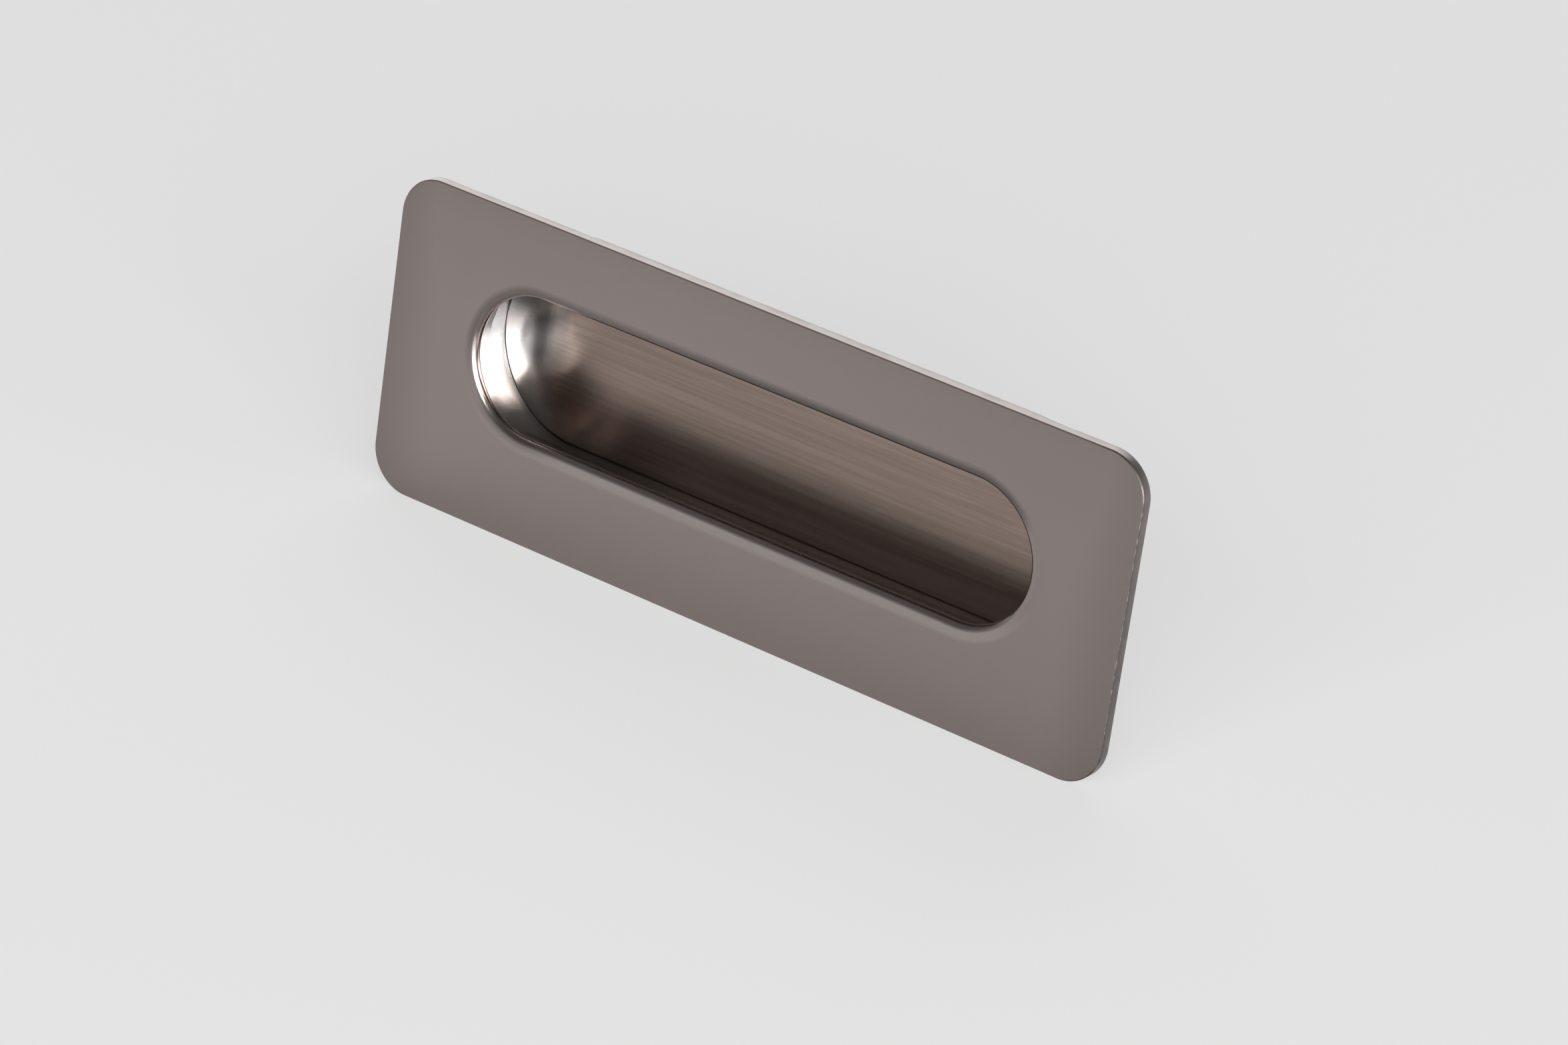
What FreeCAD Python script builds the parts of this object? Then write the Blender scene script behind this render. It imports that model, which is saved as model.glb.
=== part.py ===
import FreeCAD, Part
import math
import os

# Flush pull for a sliding door, cabinet door or drawer front. A thin rectangular face plate lies on
# the front of the panel, and a finger pocket with round ends is sunk into the panel behind it.
# The plate and the pocket's wall are one die casting. The wall flares towards the back, because the
# core that forms it is drawn out that way, and a brushed sheet, staked in from behind, is the floor.
# Two tapped bosses behind the plate take machine screws that come through the panel.
#
# Frame: +X along the plate, +Z up, +Y into the panel. The visible face looks towards -Y.
# The origin is on the panel's surface, at the middle of the pocket, where the cut-out is centred.
# All sizes are in millimetres, and all angles in degrees.

# Face plate
plate_length = 120.0
plate_height = 45.7
plate_thickness = 1.8
plate_corner_radius = 6.0
plate_roll_width = 3.5      # polishing rolls the face gently down towards its rim
plate_roll_drop = 0.11
plate_edge_round = 0.22     # then a tight round turns it into the side
plate_back_round = 0.2

# Face left between the mouth of the pocket and the plate's edges
face_beside = 14.8
face_above = 10.75          # less than below, so the pocket sits nearer to the top edge
face_below = 14.95

# Finger pocket
pocket_depth = 11.2         # from the visible face to the floor
pocket_undercut = 3.6       # how far the wall runs back behind the mouth, for fingertips to hook in
lip_roll_width = 1.5
lip_roll_drop = 0.07
lip_round = 1.0
wall_foot_flare = 8.0       # a wide arc lets the wall flare less and less, down to this at the floor
wall_foot_share = 0.8       # the arc's radius, as a share of the widest that leaves a straight flank

# Floor sheet, and the rebate that it lies in
sheet_thickness = 1.0
sheet_side_clearance = 0.1
seat_width = 1.0            # shoulder that the sheet's edge lies against
rim_wall = 1.2              # casting outside the sheet's edge
rim_back_break = 0.3
rim_draft = 1.5
rim_root_round = 0.8
stake_thickness = 0.6       # tabs of the rim, peened over the back of the sheet
stake_width = 5.0
stake_reach = 0.8
stake_spacing = 44.0

# Screw bosses, each run into the pocket's end wall, which stiffens it
boss_inset = 7.5            # from the plate's end to the screw's axis
boss_radius = 3.0
boss_height = 6.5           # behind the plate's back, and so low that the plate hides it from beside
boss_root_round = 0.6
boss_edge_break = 0.3
tap_radius = 1.65           # core of an M4 thread
tap_depth = 5.0
tap_mouth_break = 0.35
drill_point_angle = 118.0

# Derived places
face_y = -plate_thickness
floor_y = face_y + pocket_depth
sheet_back_y = floor_y + sheet_thickness
rim_back_y = sheet_back_y + stake_thickness
mouth_radius = (plate_height - face_above - face_below) / 2
plate_middle_z = (face_above - face_below) / 2
end_centre_x = plate_length / 2 - face_beside - mouth_radius     # centre of a round end
boss_x = plate_length / 2 - boss_inset
floor_radius = mouth_radius + pocket_undercut
seat_radius = floor_radius + seat_width

touching = 1e-6             # points nearer than this are one point


def point(across, y):
    """A point of a section: how far out from the middle line, and how far along +Y."""
    return FreeCAD.Vector(across, y, 0)


def bend(centre, radius, start, stop):
    """Three points of an arc. Its angles are counted from outwards (0) to +Y (90)."""
    angles = [math.radians(angle) for angle in (start, (start + stop) / 2, stop)]
    return [centre + point(radius * math.cos(angle), radius * math.sin(angle)) for angle in angles]


def section(*stations):
    """Close a chain of stations into a flat face.

    A station is a point, or a list of three points that an arc runs through. Neighbours that don't
    meet are joined by a straight line.
    """
    runs = [station if isinstance(station, list) else [station] for station in stations]
    edges = []
    for index, run in enumerate(runs):
        before = runs[index - 1][-1]
        if before.distanceToPoint(run[0]) > touching:
            edges.append(Part.makeLine(before, run[0]))
        if len(run) == 3:
            edges.append(Part.Arc(*run).toShape())
    return Part.Face(Part.Wire(edges))


def swept(profile, half_x, half_z=0.0, middle_z=0.0):
    """Carry a section round a rectangle of corner centres, or a line of them with round ends."""
    origin = FreeCAD.Vector(0, 0, 0)
    into_panel = FreeCAD.Vector(0, 1, 0)
    pieces = []
    for quarter, (side_x, side_z) in enumerate([(1, -1), (-1, -1), (-1, 1), (1, 1)]):
        corner = profile.revolve(origin, into_panel, 90)
        corner.rotate(origin, into_panel, 90 * quarter)
        corner.translate(FreeCAD.Vector(side_x * half_x, 0, side_z * half_z))
        pieces.append(corner)
    for quarter, (side_x, side_z) in enumerate([(1, 0), (0, -1), (-1, 0), (0, 1)]):
        run = FreeCAD.Vector(2 * half_x * abs(side_z), 0, 2 * half_z * abs(side_x))
        if run.Length < touching:
            continue
        face = profile.copy()
        face.rotate(origin, into_panel, 90 * quarter)
        face.translate(FreeCAD.Vector(side_x * half_x, 0, side_z * half_z) - run / 2)
        pieces.append(face.extrude(run))
    whole = pieces[0].multiFuse(pieces[1:]).removeSplitter()
    whole.translate(FreeCAD.Vector(0, 0, middle_z))
    return whole


def turned(profile, x):
    """Revolve a section about the line along Y that crosses the pocket's middle line at x."""
    solid = profile.revolve(FreeCAD.Vector(0, 0, 0), FreeCAD.Vector(0, 1, 0), 360)
    solid.translate(FreeCAD.Vector(x, 0, 0))
    return solid


def polished_edge(roll_width, roll_drop, edge_round, turn):
    """Two arcs that take the flat face gently down and then tightly round, by turn in all.

    They are drawn for an edge at 0 with the metal on its inner side. Also gives the tight arc's centre.
    """
    lean = 2 * math.degrees(math.atan(roll_drop / roll_width))
    roll_radius = roll_width / math.sin(math.radians(lean))
    centre = point(-edge_round, face_y + roll_drop + edge_round * math.cos(math.radians(lean)))
    tight = bend(centre, edge_round, lean - 90, turn - 90)
    gentle = bend(point(tight[0].x - roll_width, face_y + roll_radius), roll_radius, -90, lean - 90)
    return gentle, tight, centre


def face_plate():
    """The plate without its opening: a border carried round the outline, and a flat middle."""
    radius = plate_corner_radius
    gentle, tight, _ = polished_edge(plate_roll_width, plate_roll_drop, plate_edge_round, 90)
    border = section(
        point(0, face_y),
        [step + point(radius, 0) for step in gentle],
        [step + point(radius, 0) for step in tight],
        bend(point(radius - plate_back_round, -plate_back_round), plate_back_round, 0, 90),
        point(0, 0),
    )
    half_x = plate_length / 2 - radius
    half_z = plate_height / 2 - radius
    corner = FreeCAD.Vector(-half_x, face_y, plate_middle_z - half_z)
    middle = Part.makeBox(2 * half_x, plate_thickness, 2 * half_z, corner)
    return swept(border, half_x, half_z, plate_middle_z).fuse(middle).removeSplitter()


def slab(radius, front_y, back_y):
    """A plain slab with round ends, on the pocket's middle line."""
    profile = section(point(0, front_y), point(radius, front_y), point(radius, back_y), point(0, back_y))
    return swept(profile, end_centre_x)


def rim_outside(y):
    """How far out the drafted outside of the pocket's wall stands."""
    return seat_radius + rim_wall + (rim_back_y - y) * math.tan(math.radians(rim_draft))


def sunk_body():
    """What goes into the panel's cut-out, still without its pocket: drafted, with a round at its root."""
    middle = rim_outside(0) + rim_root_round * math.tan(math.radians(45 - rim_draft / 2))
    profile = section(
        point(0, face_y / 2),
        point(middle, face_y / 2),
        bend(point(middle, rim_root_round), rim_root_round, 270, 180 + rim_draft),
        point(rim_outside(rim_back_y - rim_back_break), rim_back_y - rim_back_break),
        point(rim_outside(rim_back_y) - rim_back_break, rim_back_y),
        point(0, rim_back_y),
    )
    return swept(profile, end_centre_x)


def pocket():
    """The room inside: lip, flared wall at a tangent to the lip's round and to its own foot, and rebate."""
    centre = polished_edge(lip_roll_width, lip_roll_drop, lip_round, 90)[2]
    lip_centre = point(mouth_radius - centre.x, centre.y)
    foot = point(floor_radius, floor_y)
    foot_turn = math.radians(wall_foot_flare)
    inwards = point(-math.cos(foot_turn), math.sin(foot_turn))
    across = foot - lip_centre
    widest = (across.Length ** 2 - lip_round ** 2) / 2 / (lip_round - across.dot(inwards))
    foot_radius = wall_foot_share * widest
    foot_centre = foot + inwards * foot_radius
    reach = foot_centre - lip_centre
    rounds = lip_round + foot_radius
    flare = math.degrees(math.atan2(reach.x, reach.y) + math.asin(rounds / reach.Length))
    gentle, tight, _ = polished_edge(lip_roll_width, lip_roll_drop, lip_round, 90 + flare)
    # The lip is the same edge as the plate's, looking the other way.
    mirrored = [[point(mouth_radius - step.x, step.y) for step in reversed(arc)] for arc in (tight, gentle)]
    above_face = 2 * face_y
    below_rim = rim_back_y + stake_thickness
    profile = section(
        point(0, above_face),
        point(0, below_rim),
        point(seat_radius, below_rim),
        point(seat_radius, floor_y),
        bend(foot_centre, foot_radius, -wall_foot_flare, -flare),
        *mirrored,
        point(mirrored[1][-1].x, above_face),
    )
    print("the wall's arc is %.2f mm in radius, and its flank flares by %.1f degrees" % (foot_radius, flare))
    return swept(profile, end_centre_x)


def stakes():
    """Tabs of the rim turned in over the sheet: one at each end and two along each side."""
    depth = stake_reach + rim_wall / 2
    middle = seat_radius + depth / 2 - stake_reach
    tabs = []
    for side in (-1, 1):
        places = [(x, side * middle, stake_width, depth) for x in (-stake_spacing / 2, stake_spacing / 2)]
        places.append((side * (end_centre_x + middle), 0, depth, stake_width))
        for x, z, length, height in places:
            corner = FreeCAD.Vector(x - length / 2, sheet_back_y, z - height / 2)
            tabs.append(Part.makeBox(length, stake_thickness, height, corner))
    return tabs


def boss(x):
    """A round boss on the plate's back, with a round at its root."""
    root = boss_radius + boss_root_round
    profile = section(
        point(0, face_y / 2),
        point(root, face_y / 2),
        bend(point(root, boss_root_round), boss_root_round, 270, 180),
        point(boss_radius, boss_height - boss_edge_break),
        point(boss_radius - boss_edge_break, boss_height),
        point(0, boss_height),
    )
    return turned(profile, x)


def tapped_hole(x):
    """A blind hole from the boss's end, with a drill point and a broken mouth."""
    bottom = boss_height - tap_depth
    point_length = tap_radius / math.tan(math.radians(drill_point_angle / 2))
    beyond = boss_height + tap_mouth_break
    profile = section(
        point(0, bottom - point_length),
        point(tap_radius, bottom),
        point(tap_radius, boss_height - tap_mouth_break),
        point(tap_radius + 2 * tap_mouth_break, beyond),
        point(0, beyond),
    )
    return turned(profile, x)


def body():
    """The casting: plate, pocket wall and bosses, then the pocket, the peened tabs and the threads."""
    places = (-boss_x, boss_x)
    cast = face_plate().multiFuse([sunk_body(), *[boss(x) for x in places]])
    cast = cast.cut(pocket()).multiFuse(stakes())
    for x in places:
        cast = cast.cut(tapped_hole(x))
    return cast.removeSplitter()


def floor_plate():
    """The brushed sheet that closes the pocket from behind."""
    return slab(seat_radius - sheet_side_clearance, floor_y, sheet_back_y)


os.makedirs("parts", exist_ok=True)
for name, shape in (("body", body()), ("floor_plate", floor_plate())):
    box = shape.optimalBoundingBox(False, False)
    print(
        "%s: %d solid, valid %s, %.0f mm3, %.2f x %.2f x %.2f mm"
        % (name, len(shape.Solids), shape.isValid(), shape.Volume, box.XLength, box.YLength, box.ZLength)
    )
    shape.exportStep("parts/%s.step" % name)
print("screws are %.2f mm apart, and the cut-out is %.1f mm high" % (2 * boss_x, 2 * rim_outside(0)))
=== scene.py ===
# %% [markdown]
# A flush pull in satin and polished metal
#
# A flush pull lets fingers get hold of a sliding door that has nothing sticking out of it. A thin
# plate lies on the door, and a pocket with round ends is sunk into the wood behind the plate. This
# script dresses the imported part: the same shapes, made again with fine rounds that take a
# reflection well, and with the finishes that the real pull has.
#
# Blender counts in metres, and the part has its own frame: +X along the plate, +Z up, +Y into the
# door. The visible face looks towards -Y, and the origin lies on the door's surface, in the pocket's
# middle.
# The sizes below are in millimetres, and become metres where a shape or a finish is made.

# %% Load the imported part
import bpy
import math
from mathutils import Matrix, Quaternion, Vector


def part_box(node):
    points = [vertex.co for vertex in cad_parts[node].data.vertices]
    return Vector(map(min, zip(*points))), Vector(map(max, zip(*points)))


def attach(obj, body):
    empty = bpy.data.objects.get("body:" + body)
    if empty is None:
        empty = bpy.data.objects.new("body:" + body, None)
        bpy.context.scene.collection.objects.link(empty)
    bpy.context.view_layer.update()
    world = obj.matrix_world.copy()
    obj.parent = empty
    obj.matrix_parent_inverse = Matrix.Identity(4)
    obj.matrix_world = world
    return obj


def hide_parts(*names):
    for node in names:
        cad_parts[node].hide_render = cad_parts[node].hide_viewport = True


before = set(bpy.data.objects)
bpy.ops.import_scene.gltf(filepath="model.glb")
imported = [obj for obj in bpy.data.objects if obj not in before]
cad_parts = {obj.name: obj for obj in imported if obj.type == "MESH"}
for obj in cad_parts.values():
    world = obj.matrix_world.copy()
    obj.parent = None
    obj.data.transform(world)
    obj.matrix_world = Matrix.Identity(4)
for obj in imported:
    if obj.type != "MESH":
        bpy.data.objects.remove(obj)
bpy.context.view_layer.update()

mm = 0.001
print("CAD nodes:", sorted(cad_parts))

# %% [markdown]
# Sizes
#
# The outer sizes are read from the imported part, so the looks can't drift away from it. A box can't
# tell a small round or a clearance, so those are written out, as in the part's source.

# %% Sizes of the plate
body_low, body_high = (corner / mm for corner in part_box("body"))
plate_length = body_high.x - body_low.x
plate_height = body_high.z - body_low.z
plate_middle_z = (body_high.z + body_low.z) / 2
plate_corner = 6.0
face_y = body_low.y
rim_back_y = body_high.y
print("plate %.1f x %.1f mm" % (plate_length, plate_height))

# %% Sizes of the pocket
sheet_low, sheet_high = (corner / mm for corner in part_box("floor_plate"))
floor_y = sheet_low.y
sheet_back_y = sheet_high.y
sheet_clearance = 0.1
seat_width = 1.0
undercut = 3.6
seat_radius = (sheet_high.z - sheet_low.z) / 2 + sheet_clearance
floor_radius = seat_radius - seat_width
mouth_radius = floor_radius - undercut
end_centre_x = sheet_high.x + sheet_clearance - seat_radius
print("mouth %.1f x %.1f mm" % (2 * (end_centre_x + mouth_radius), 2 * mouth_radius))
print("pocket %.1f mm deep" % (floor_y - face_y))

# %% [markdown]
# Node trees as expressions
#
# A node tree is a sum written in boxes. One small class wraps a socket, so that a + b adds the Math
# node for it, and one method adds every other kind of node. Both work for geometry trees and for
# materials, so a tree reads like the rule that it stands for.

# %% A socket that can be written into an expression
class Value:
    def __init__(self, graph, socket):
        self.graph = graph
        self.socket = socket

    def maths(self, operation, *others):
        """A Math node with this value first."""
        sockets = dict(enumerate((self, *others)))
        return self.graph.node("ShaderNodeMath", {"operation": operation}, sockets)

    def other(self, name):
        """Another output of the node that this value comes from."""
        return Value(self.graph, self.socket.node.outputs[name])

    def __add__(self, other):
        return self.maths("ADD", other)

    def __sub__(self, other):
        return self.maths("SUBTRACT", other)

    def __rsub__(self, other):
        return self.graph.number(other).maths("SUBTRACT", self)

    def __mul__(self, other):
        return self.maths("MULTIPLY", other)

    def __truediv__(self, other):
        return self.maths("DIVIDE", other)

    __radd__ = __add__
    __rmul__ = __mul__

    def between(self, low, high):
        """0 below low, 1 above high, and smooth in between."""
        sockets = {"Value": self, "From Min": low, "From Max": high}
        return self.graph.node("ShaderNodeMapRange", {"interpolation_type": "SMOOTHSTEP"}, sockets)


# %% A tree that nodes are added to
class Graph:
    def __init__(self, tree):
        self.tree = tree
        tree.nodes.clear()

    def node(self, kind, settings=None, sockets=None, output=0):
        """Add a node: its settings first, then a link or a plain value for each socket that is named."""
        made = self.tree.nodes.new(kind)
        for name, setting in (settings or {}).items():
            setattr(made, name, setting)
        for key, value in (sockets or {}).items():
            if isinstance(value, Value):
                self.tree.links.new(value.socket, made.inputs[key])
            else:
                made.inputs[key].default_value = value
        return Value(self, made.outputs[output]) if made.outputs else None

    def number(self, amount):
        made = self.node("ShaderNodeValue")
        made.socket.default_value = amount
        return made


# %% [markdown]
# A tree that carries a section round an outline
#
# The casting is one section carried round a closed outline, as a cutter would run round it. Each
# point of the section makes one ring: four quarter turns about four corner centres. The plate's
# corner centres stand in a rectangle, and the pocket's lie two by two on its middle line, which
# gives its round ends. A grid supplies the points, and the tree only has to move them: a column of
# the grid picks the place on the ring, and a row picks the point of the section.
#
# A station is one point of the section. It says how far out it lies, how deep, and on which of the
# two outlines. It also has labels, numbers from 0 to 1 that tell the material how polished, worn or
# rough-cast the metal is there, where it carries dirt or painted shade, and where a painted sheen lies
# on it, and the tree how deep a thread is cut.

# %% Put something in the scene
def put_in_scene(name, data):
    """An object holds a mesh, a lamp or a camera, and shows once a collection holds the object."""
    made = bpy.data.objects.new(name, data)
    bpy.context.scene.collection.objects.link(made)
    return made


# %% The section as loose points
# Of the labels, the lip's shade and sheen are painted light, and the soil label is dirt on the sheet but
# painted shade at the wall's foot.
station_labels = ("polish", "wear", "cast", "soil", "thread", "tarnish", "buffed")
plate_outline, pocket_outline = 0, 1


def loose_points(name, places, labels):
    """A hidden mesh of points for a tree to read, with a list of numbers for each label."""
    mesh = bpy.data.meshes.new(name)
    mesh.from_pydata(places, [], [])
    for label_name, amounts in labels.items():
        mesh.attributes.new(label_name, "FLOAT", "POINT").data.foreach_set("value", amounts)
    holder = put_in_scene(name, mesh)
    holder.hide_render = True
    print(name, "has", len(places), "points")
    return holder


def strip(name, stations):
    places = [(s["out"] * mm, s["deep"] * mm, s.get("outline", plate_outline)) for s in stations]
    labels = {label_name: [s.get(label_name, 0.0) for s in stations] for label_name in station_labels}
    return loose_points(name, places, labels)


# %% What all the trees begin and end with
def new_tree(name, inputs):
    """A geometry tree with named inputs: its graph, their identifiers and their values."""
    tree = bpy.data.node_groups.new(name, "GeometryNodeTree")
    tree.interface.new_socket("Geometry", in_out="OUTPUT", socket_type="NodeSocketGeometry")
    ids = {}
    for title, kind in inputs.items():
        socket = tree.interface.new_socket(title, in_out="INPUT", socket_type="NodeSocket" + kind)
        ids[title] = socket.identifier
    g = Graph(tree)
    entry = g.node("NodeGroupInput")
    return g, ids, {title: entry.other(title) for title in inputs}


def finish_tree(g, shape, finish):
    """Instances are made real, because the export drops them, and the material goes on last."""
    shape = g.node("GeometryNodeRealizeInstances", None, {0: shape})
    shape = g.node("GeometryNodeSetMaterial", None, {"Geometry": shape, "Material": finish})
    g.node("NodeGroupOutput", None, {0: shape})
    print(g.tree.name, "has", len(g.tree.nodes), "nodes")


# %% Labels and points in a tree
def store_label(g, shape, name, amount):
    return g.node("GeometryNodeStoreNamedAttribute", {"data_type": "FLOAT", "domain": "POINT"},
                  {"Geometry": shape, "Name": name, "Value": amount})


def stored_label(g, name):
    return g.node("GeometryNodeInputNamedAttribute", {"data_type": "FLOAT"}, {"Name": name})


def points_of(g, holder):
    return g.node("GeometryNodeObjectInfo", {"transform_space": "ORIGINAL"},
                  {"Object": holder}, "Geometry")


# %% A grid that reads its stations
seam_gap = 0.001 * mm


class Stations:
    """A grid with one row for each station of a section, and one column for each place round it."""

    def __init__(self, g, given, columns):
        self.g = g
        rows = given["Stations"]
        self.section = points_of(g, given["Section"])
        self.grid = g.node("GeometryNodeMeshGrid", None,
                           {"Size X": 1.0, "Size Y": 1.0, "Vertices X": columns, "Vertices Y": rows})
        index = g.node("GeometryNodeInputIndex")
        self.column = ((index + 0.5) / rows).maths("FLOOR")
        self.row = index - self.column * rows

    def read(self, kind, value):
        return self.g.node("GeometryNodeSampleIndex", {"data_type": kind, "domain": "POINT"},
                           {"Geometry": self.section, "Value": value, "Index": self.row})

    def place(self):
        place = self.read("FLOAT_VECTOR", self.g.node("GeometryNodeInputPosition"))
        return self.g.node("ShaderNodeSeparateXYZ", None, {0: place})

    def label(self, name):
        return self.read("FLOAT", stored_label(self.g, name))

    def shaped(self, x, y, z):
        """Move the grid's points to their places, write the labels on them and close the seams."""
        where = self.g.node("ShaderNodeCombineXYZ", None, {"X": x, "Y": y, "Z": z})
        shape = self.g.node("GeometryNodeSetPosition", None, {"Geometry": self.grid, "Position": where})
        for name in station_labels:
            shape = store_label(self.g, shape, name, self.label(name))
        return self.g.node("GeometryNodeMergeByDistance", None,
                           {"Geometry": shape, "Distance": seam_gap})


# %% The tree that carries a section round an outline
def ring_tree():
    g, ids, given = new_tree("section_round_outline", {
        "Section": "Object", "Stations": "Int", "Steps per corner": "Int", "Plate half length": "Float",
        "Plate half height": "Float", "Plate middle": "Float", "Pocket half length": "Float",
        "Material": "Material",
    })
    per_corner = given["Steps per corner"] + 1
    stations = Stations(g, given, per_corner * 4 + 1)
    corner = ((stations.column + 0.5) / per_corner).maths("FLOOR")
    step = stations.column - corner * per_corner
    quarter = math.pi / 2
    turn = (corner + step / given["Steps per corner"]) * quarter
    diagonal = corner * quarter + quarter / 2
    to_corner = math.sqrt(2)

    out = stations.place()
    on_pocket = out.other("Z")
    on_plate = 1 - on_pocket
    half_x = on_plate * given["Plate half length"] + on_pocket * given["Pocket half length"]
    half_z = on_plate * given["Plate half height"]
    x = diagonal.maths("COSINE") * to_corner * half_x + turn.maths("COSINE") * out
    z = diagonal.maths("SINE") * to_corner * half_z + turn.maths("SINE") * out
    z = z + on_plate * given["Plate middle"]
    finish_tree(g, stations.shaped(x, out.other("Y"), z), given["Material"])
    return g.tree, ids


rings, ring_ids = ring_tree()


def ring_settings(section, finish, corner_steps):
    return {
        "Section": section,
        "Stations": len(section.data.vertices),
        "Steps per corner": corner_steps,
        "Plate half length": (plate_length / 2 - plate_corner) * mm,
        "Plate half height": (plate_height / 2 - plate_corner) * mm,
        "Plate middle": plate_middle_z * mm,
        "Pocket half length": end_centre_x * mm,
        "Material": finish,
    }


# %% Run a tree and keep its mesh
sharp_angle = math.radians(30)


def signed_volume(mesh):
    """The volume inside a closed mesh, which comes out negative where its faces point inwards."""
    mesh.calc_loop_triangles()
    total = 0.0
    for triangle in mesh.loop_triangles:
        a, b, c = (mesh.vertices[i].co for i in triangle.vertices)
        total += a.dot(b.cross(c)) / 6
    return total


def grown(name, tree, ids, settings):
    """Run a tree on an empty mesh and keep the result as a plain mesh piece."""
    piece = put_in_scene(name, bpy.data.meshes.new(name))
    modifier = piece.modifiers.new(name, "NODES")
    modifier.node_group = tree
    for title, value in settings.items():
        modifier[ids[title]] = value
    graph = bpy.context.evaluated_depsgraph_get()
    mesh = bpy.data.meshes.new_from_object(piece.evaluated_get(graph), depsgraph=graph)
    piece.modifiers.clear()
    piece.data = mesh
    mesh.name = name
    volume = signed_volume(mesh)
    if volume < 0:
        mesh.flip_normals()
    mesh.shade_smooth()
    mesh.set_sharp_from_angle(angle=sharp_angle)
    print("%s: %d faces, %.0f mm3" % (name, len(mesh.polygons), abs(volume) / mm**3))
    return piece


# %% [markdown]
# The finishes
#
# The casting is plated. Its face is satin, its lip and wall are polished, and its back is left as it
# came from the die. Each finish could have a material of its own, with a hard line where two meet.
# Here the labels on the section's points are read instead, so one material goes smoothly from one
# finish to the next, and a mask for each layer says where on the plate it shows. Some layers are
# painted light: shade on the face, on the lip, at the wall's foot and on the right end's edge, and a
# sheen on the lower lip.
#
# A mask rises from 0 to 1 between two places. Places are measured as with a ruler, in millimetres:
# along from the plate's left end, and up or down from the pocket's middle.

# %% Helpers for materials
def material(name):
    made = bpy.data.materials.new(name)
    made.use_nodes = True
    return made, Graph(made.node_tree)


def finish_material(made, g, surface):
    g.node("ShaderNodeOutputMaterial", None, {"Surface": surface})
    print(made.name, "has", len(g.tree.nodes), "nodes")
    return made


def ruler(g):
    """A point's own coordinates, and how far it is along, deep and up in millimetres."""
    where = g.node("ShaderNodeTexCoord", None, None, "Object")
    x = g.node("ShaderNodeSeparateXYZ", None, {0: where})
    return where, x / mm + plate_length / 2, x.other("Y") / mm, x.other("Z") / mm


def blend_colour(g, amount, first, second):
    """A colour between two. A Mix node has the sockets of its colour form at 6 and 7, and out at 2."""
    return g.node("ShaderNodeMix", {"data_type": "RGBA"}, {"Factor": amount, 6: first, 7: second}, 2)


# %% Colours of the casting
# Some of these colours are painted light: painted shade on the face and the lip, a painted sheen on the
# lower lip, and a dark edge that dims the right end's glint. The darkest one is dirt on the sheet and
# painted shade at the wall's foot.
satin_colour = (0.318, 0.272, 0.257, 1.0)
polished_colour = (0.650, 0.660, 0.674, 1.0)
warm_polished_colour = (0.695, 0.663, 0.645, 1.0)
lip_sheen_colour = (0.420, 0.385, 0.365, 1.0)
painted_shade_colour = (0.130, 0.113, 0.107, 1.0)
dimmed_edge_colour = (0.045, 0.040, 0.038, 1.0)
dirt_and_shade_colour = (0.030, 0.026, 0.024, 1.0)
cast_colour = (0.300, 0.280, 0.265, 1.0)
dark_cast_colour = (0.22, 0.20, 0.19, 1.0)


# %% Satin face and polished wall
def of_mouth(low, high):
    """A pair of heights, from shares of the mouth's half height."""
    return low * mouth_radius, high * mouth_radius


# Painted shade on the face: darker near its two ends, towards its top and towards its right.
end_zone = (plate_length / 2 - 10, plate_length / 2 + 2)
end_shade = 0.32
top_zone = (0.0, 18.0)
top_shade = 0.1
long_zone = (plate_length / 3, plate_length)
right_shade = 0.1
warm_wall_zone = of_mouth(0.55, 0.8)


def satin_face(g, along, up):
    """Satin plating, with painted shade near the plate's two ends, towards its top and towards its right.
    """
    off_middle = (along - plate_length / 2).maths("ABSOLUTE")
    shade_near_end = end_shade * off_middle.between(*end_zone)
    shade_near_top = top_shade * up.between(*top_zone)
    face_shade = shade_near_end.maths("MAXIMUM", shade_near_top) + right_shade * along.between(*long_zone)
    return blend_colour(g, face_shade, satin_colour, painted_shade_colour)


def plating(g, along, up, polish):
    """The satin, with bright metal over it where the polishing wheel has been."""
    low = (0 - up).between(*warm_wall_zone)
    bright = blend_colour(g, low, polished_colour, warm_polished_colour)
    return blend_colour(g, polish.maths("POWER", 4), satin_face(g, along, up), bright)


# %% Labels and noise
def label(g, name):
    return g.node("ShaderNodeAttribute", {"attribute_name": name}, None, "Fac")


def noise(g, where, scale, detail=2.0, roughness=0.5):
    """Soft random lumps, so many to the metre. More detail and roughness break them up."""
    return g.node("ShaderNodeTexNoise", {"noise_dimensions": "3D"},
                  {"Vector": where, "Scale": scale, "Detail": detail, "Roughness": roughness})


# %% What lies over the plating
# The right end's worn tight round is painted dark, broken up by noise: painted shade that dims its glint.
dimmed_edge_zone = (plate_length - 10, plate_length - 3)
edge_dimming_most = 0.95
broken_up_less = 0.4
# A painted sheen: a lighter band on the lower lip's roll next to its round, stronger towards the right.
sheen_down_zone = of_mouth(0.4, 1.1)
sheen_right_zone = (15.0, 35.0)
sheen_least = 0.25
sheen_more = 0.35
right_zone = (plate_length / 3, plate_length / 2)
left_lip_zone = of_mouth(-0.6, 0.3)
right_lip_zone = of_mouth(0.5, 0.9)
# Painted shade on the lip: over its top, most on the upper lip and towards its right, and less on the
# lower lip away from its left end.
upper_lip_shade = 0.75
right_lip_shade = 0.15
lower_lip_zone = of_mouth(0.65, 0.9)
left_end_zone = (24.0, 32.0)
lower_lip_shade = 0.45
low_wall_zone = of_mouth(0.6, 0.9)
# Painted shade at the foot of the lower wall, where it meets the sheet.
wall_foot_shade = 0.4


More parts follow.
